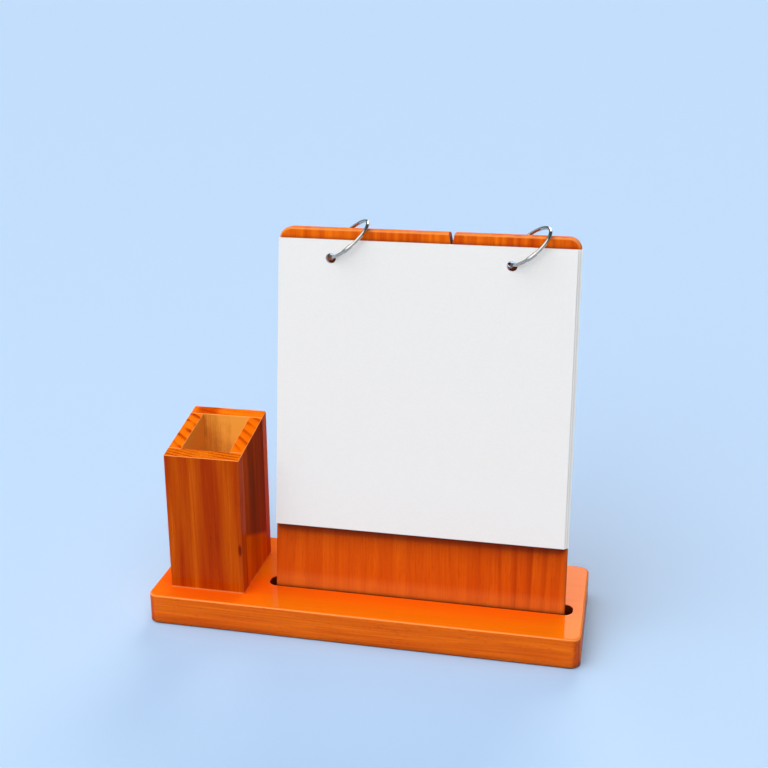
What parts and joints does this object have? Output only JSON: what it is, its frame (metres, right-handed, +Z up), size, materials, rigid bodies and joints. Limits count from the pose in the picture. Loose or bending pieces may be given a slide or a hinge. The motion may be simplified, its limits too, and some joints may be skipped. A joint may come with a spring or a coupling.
{
  "type": "desk calendar with pen holder",
  "caption": "Wooden desk calendar: blank sheets hang on hinged binder rings from a leaning board that stands in a slotted base, beside a square pen box with a sloping rim.",
  "frame": {"origin": "centre of the base's underside", "axes": "+X right along the base as seen from the front, +Y to the back, +Z up"},
  "size_m": [0.25, 0.085, 0.2313],
  "materials": {
    "stained_wood": "orange stain under a satin varnish",
    "ring_metal": "bright nickel plate",
    "paper": "matte white card",
    "screw_steel": "plain zinc plate"
  },
  "bodies": {
    "stand": {"base_board": "stained_wood", "pen_box_front_wall": "stained_wood", "pen_box_back_wall": "stained_wood", "pen_box_left_wall": "stained_wood", "pen_box_right_wall": "stained_wood", "pen_box_screws": "screw_steel"},
    "easel": {"back_board": "stained_wood"},
    "left_ring": {"left_ring_half": "ring_metal", "left_ring_rivet": "ring_metal"},
    "left_gate": {"left_ring_gate": "ring_metal"},
    "right_ring": {"right_ring_half": "ring_metal", "right_ring_rivet": "ring_metal"},
    "right_gate": {"right_ring_gate": "ring_metal"},
    "sheet_01": {"sheet_01": "paper"},
    "sheet_02": {"sheet_02": "paper"},
    "sheet_03": {"sheet_03": "paper"},
    "sheet_04": {"sheet_04": "paper"},
    "sheet_05": {"sheet_05": "paper"},
    "sheet_06": {"sheet_06": "paper"},
    "sheet_07": {"sheet_07": "paper"},
    "sheet_08": {"sheet_08": "paper"},
    "sheet_09": {"sheet_09": "paper"},
    "sheet_10": {"sheet_10": "paper"},
    "sheet_11": {"sheet_11": "paper"},
    "sheet_12": {"sheet_12": "paper"}
  },
  "joints": [
    {"name": "board_lift", "type": "slide", "parent": "stand", "child": "easel", "axis": [0, 0.1392, 0.9903], "range_m": [0, 0.05]},
    {"name": "sheet_01_lift", "type": "hinge", "parent": "easel", "child": "sheet_01", "pos_m": [0.0296, 0.01581, 0.22063], "axis": [-1, 0, 0], "range_deg": [0, 20]},
    {"name": "sheet_02_lift", "type": "hinge", "parent": "easel", "child": "sheet_02", "pos_m": [0.0296, 0.01581, 0.22063], "axis": [-1, 0, 0], "range_deg": [0, 18.33]},
    {"name": "sheet_03_lift", "type": "hinge", "parent": "easel", "child": "sheet_03", "pos_m": [0.0296, 0.01581, 0.22063], "axis": [-1, 0, 0], "range_deg": [0, 16.67]},
    {"name": "sheet_04_lift", "type": "hinge", "parent": "easel", "child": "sheet_04", "pos_m": [0.0296, 0.01581, 0.22063], "axis": [-1, 0, 0], "range_deg": [0, 15]},
    {"name": "sheet_05_lift", "type": "hinge", "parent": "easel", "child": "sheet_05", "pos_m": [0.0296, 0.01581, 0.22063], "axis": [-1, 0, 0], "range_deg": [0, 13.33]},
    {"name": "sheet_06_lift", "type": "hinge", "parent": "easel", "child": "sheet_06", "pos_m": [0.0296, 0.01581, 0.22063], "axis": [-1, 0, 0], "range_deg": [0, 11.67]},
    {"name": "sheet_07_lift", "type": "hinge", "parent": "easel", "child": "sheet_07", "pos_m": [0.0296, 0.01581, 0.22063], "axis": [-1, 0, 0], "range_deg": [0, 10]},
    {"name": "sheet_08_lift", "type": "hinge", "parent": "easel", "child": "sheet_08", "pos_m": [0.0296, 0.01581, 0.22063], "axis": [-1, 0, 0], "range_deg": [0, 8.33]},
    {"name": "sheet_09_lift", "type": "hinge", "parent": "easel", "child": "sheet_09", "pos_m": [0.0296, 0.01581, 0.22063], "axis": [-1, 0, 0], "range_deg": [0, 6.67]},
    {"name": "sheet_10_lift", "type": "hinge", "parent": "easel", "child": "sheet_10", "pos_m": [0.0296, 0.01581, 0.22063], "axis": [-1, 0, 0], "range_deg": [0, 5]},
    {"name": "sheet_11_lift", "type": "hinge", "parent": "easel", "child": "sheet_11", "pos_m": [0.0296, 0.01581, 0.22063], "axis": [-1, 0, 0], "range_deg": [0, 3.33]},
    {"name": "sheet_12_lift", "type": "hinge", "parent": "easel", "child": "sheet_12", "pos_m": [0.0296, 0.01581, 0.22063], "axis": [-1, 0, 0], "range_deg": [0, 1.67]},
    {"name": "left_ring_swing", "type": "hinge", "parent": "easel", "child": "left_ring", "pos_m": [-0.02405, 0.01687, 0.21124], "axis": [0.0971, -0.9877, -0.1223], "range_deg": [0, 35]},
    {"name": "left_gate_open", "type": "hinge", "parent": "left_ring", "child": "left_gate", "pos_m": [-0.02023, 0.03061, 0.22158], "axis": [-0.6058, -0.2474, 0.7562], "range_deg": [0, 60]},
    {"name": "right_ring_swing", "type": "hinge", "parent": "easel", "child": "right_ring", "pos_m": [0.07724, 0.01687, 0.21124], "axis": [0.0971, -0.9877, -0.1223], "range_deg": [0, 35]},
    {"name": "right_gate_open", "type": "hinge", "parent": "right_ring", "child": "right_gate", "pos_m": [0.08107, 0.03061, 0.22158], "axis": [-0.6058, -0.2474, 0.7562], "range_deg": [0, 60]}
  ],
  "couplings": [
    {"joint": "sheet_02_lift", "follows": "sheet_01_lift", "ratio": 0.91667},
    {"joint": "sheet_03_lift", "follows": "sheet_01_lift", "ratio": 0.83333},
    {"joint": "sheet_04_lift", "follows": "sheet_01_lift", "ratio": 0.75},
    {"joint": "sheet_05_lift", "follows": "sheet_01_lift", "ratio": 0.66667},
    {"joint": "sheet_06_lift", "follows": "sheet_01_lift", "ratio": 0.58333},
    {"joint": "sheet_07_lift", "follows": "sheet_01_lift", "ratio": 0.5},
    {"joint": "sheet_08_lift", "follows": "sheet_01_lift", "ratio": 0.41667},
    {"joint": "sheet_09_lift", "follows": "sheet_01_lift", "ratio": 0.33333},
    {"joint": "sheet_10_lift", "follows": "sheet_01_lift", "ratio": 0.25},
    {"joint": "sheet_11_lift", "follows": "sheet_01_lift", "ratio": 0.16667},
    {"joint": "sheet_12_lift", "follows": "sheet_01_lift", "ratio": 0.083333},
    {"joint": "left_ring_swing", "follows": "sheet_01_lift", "ratio": 1.75},
    {"joint": "right_ring_swing", "follows": "sheet_01_lift", "ratio": 1.75}
  ]
}
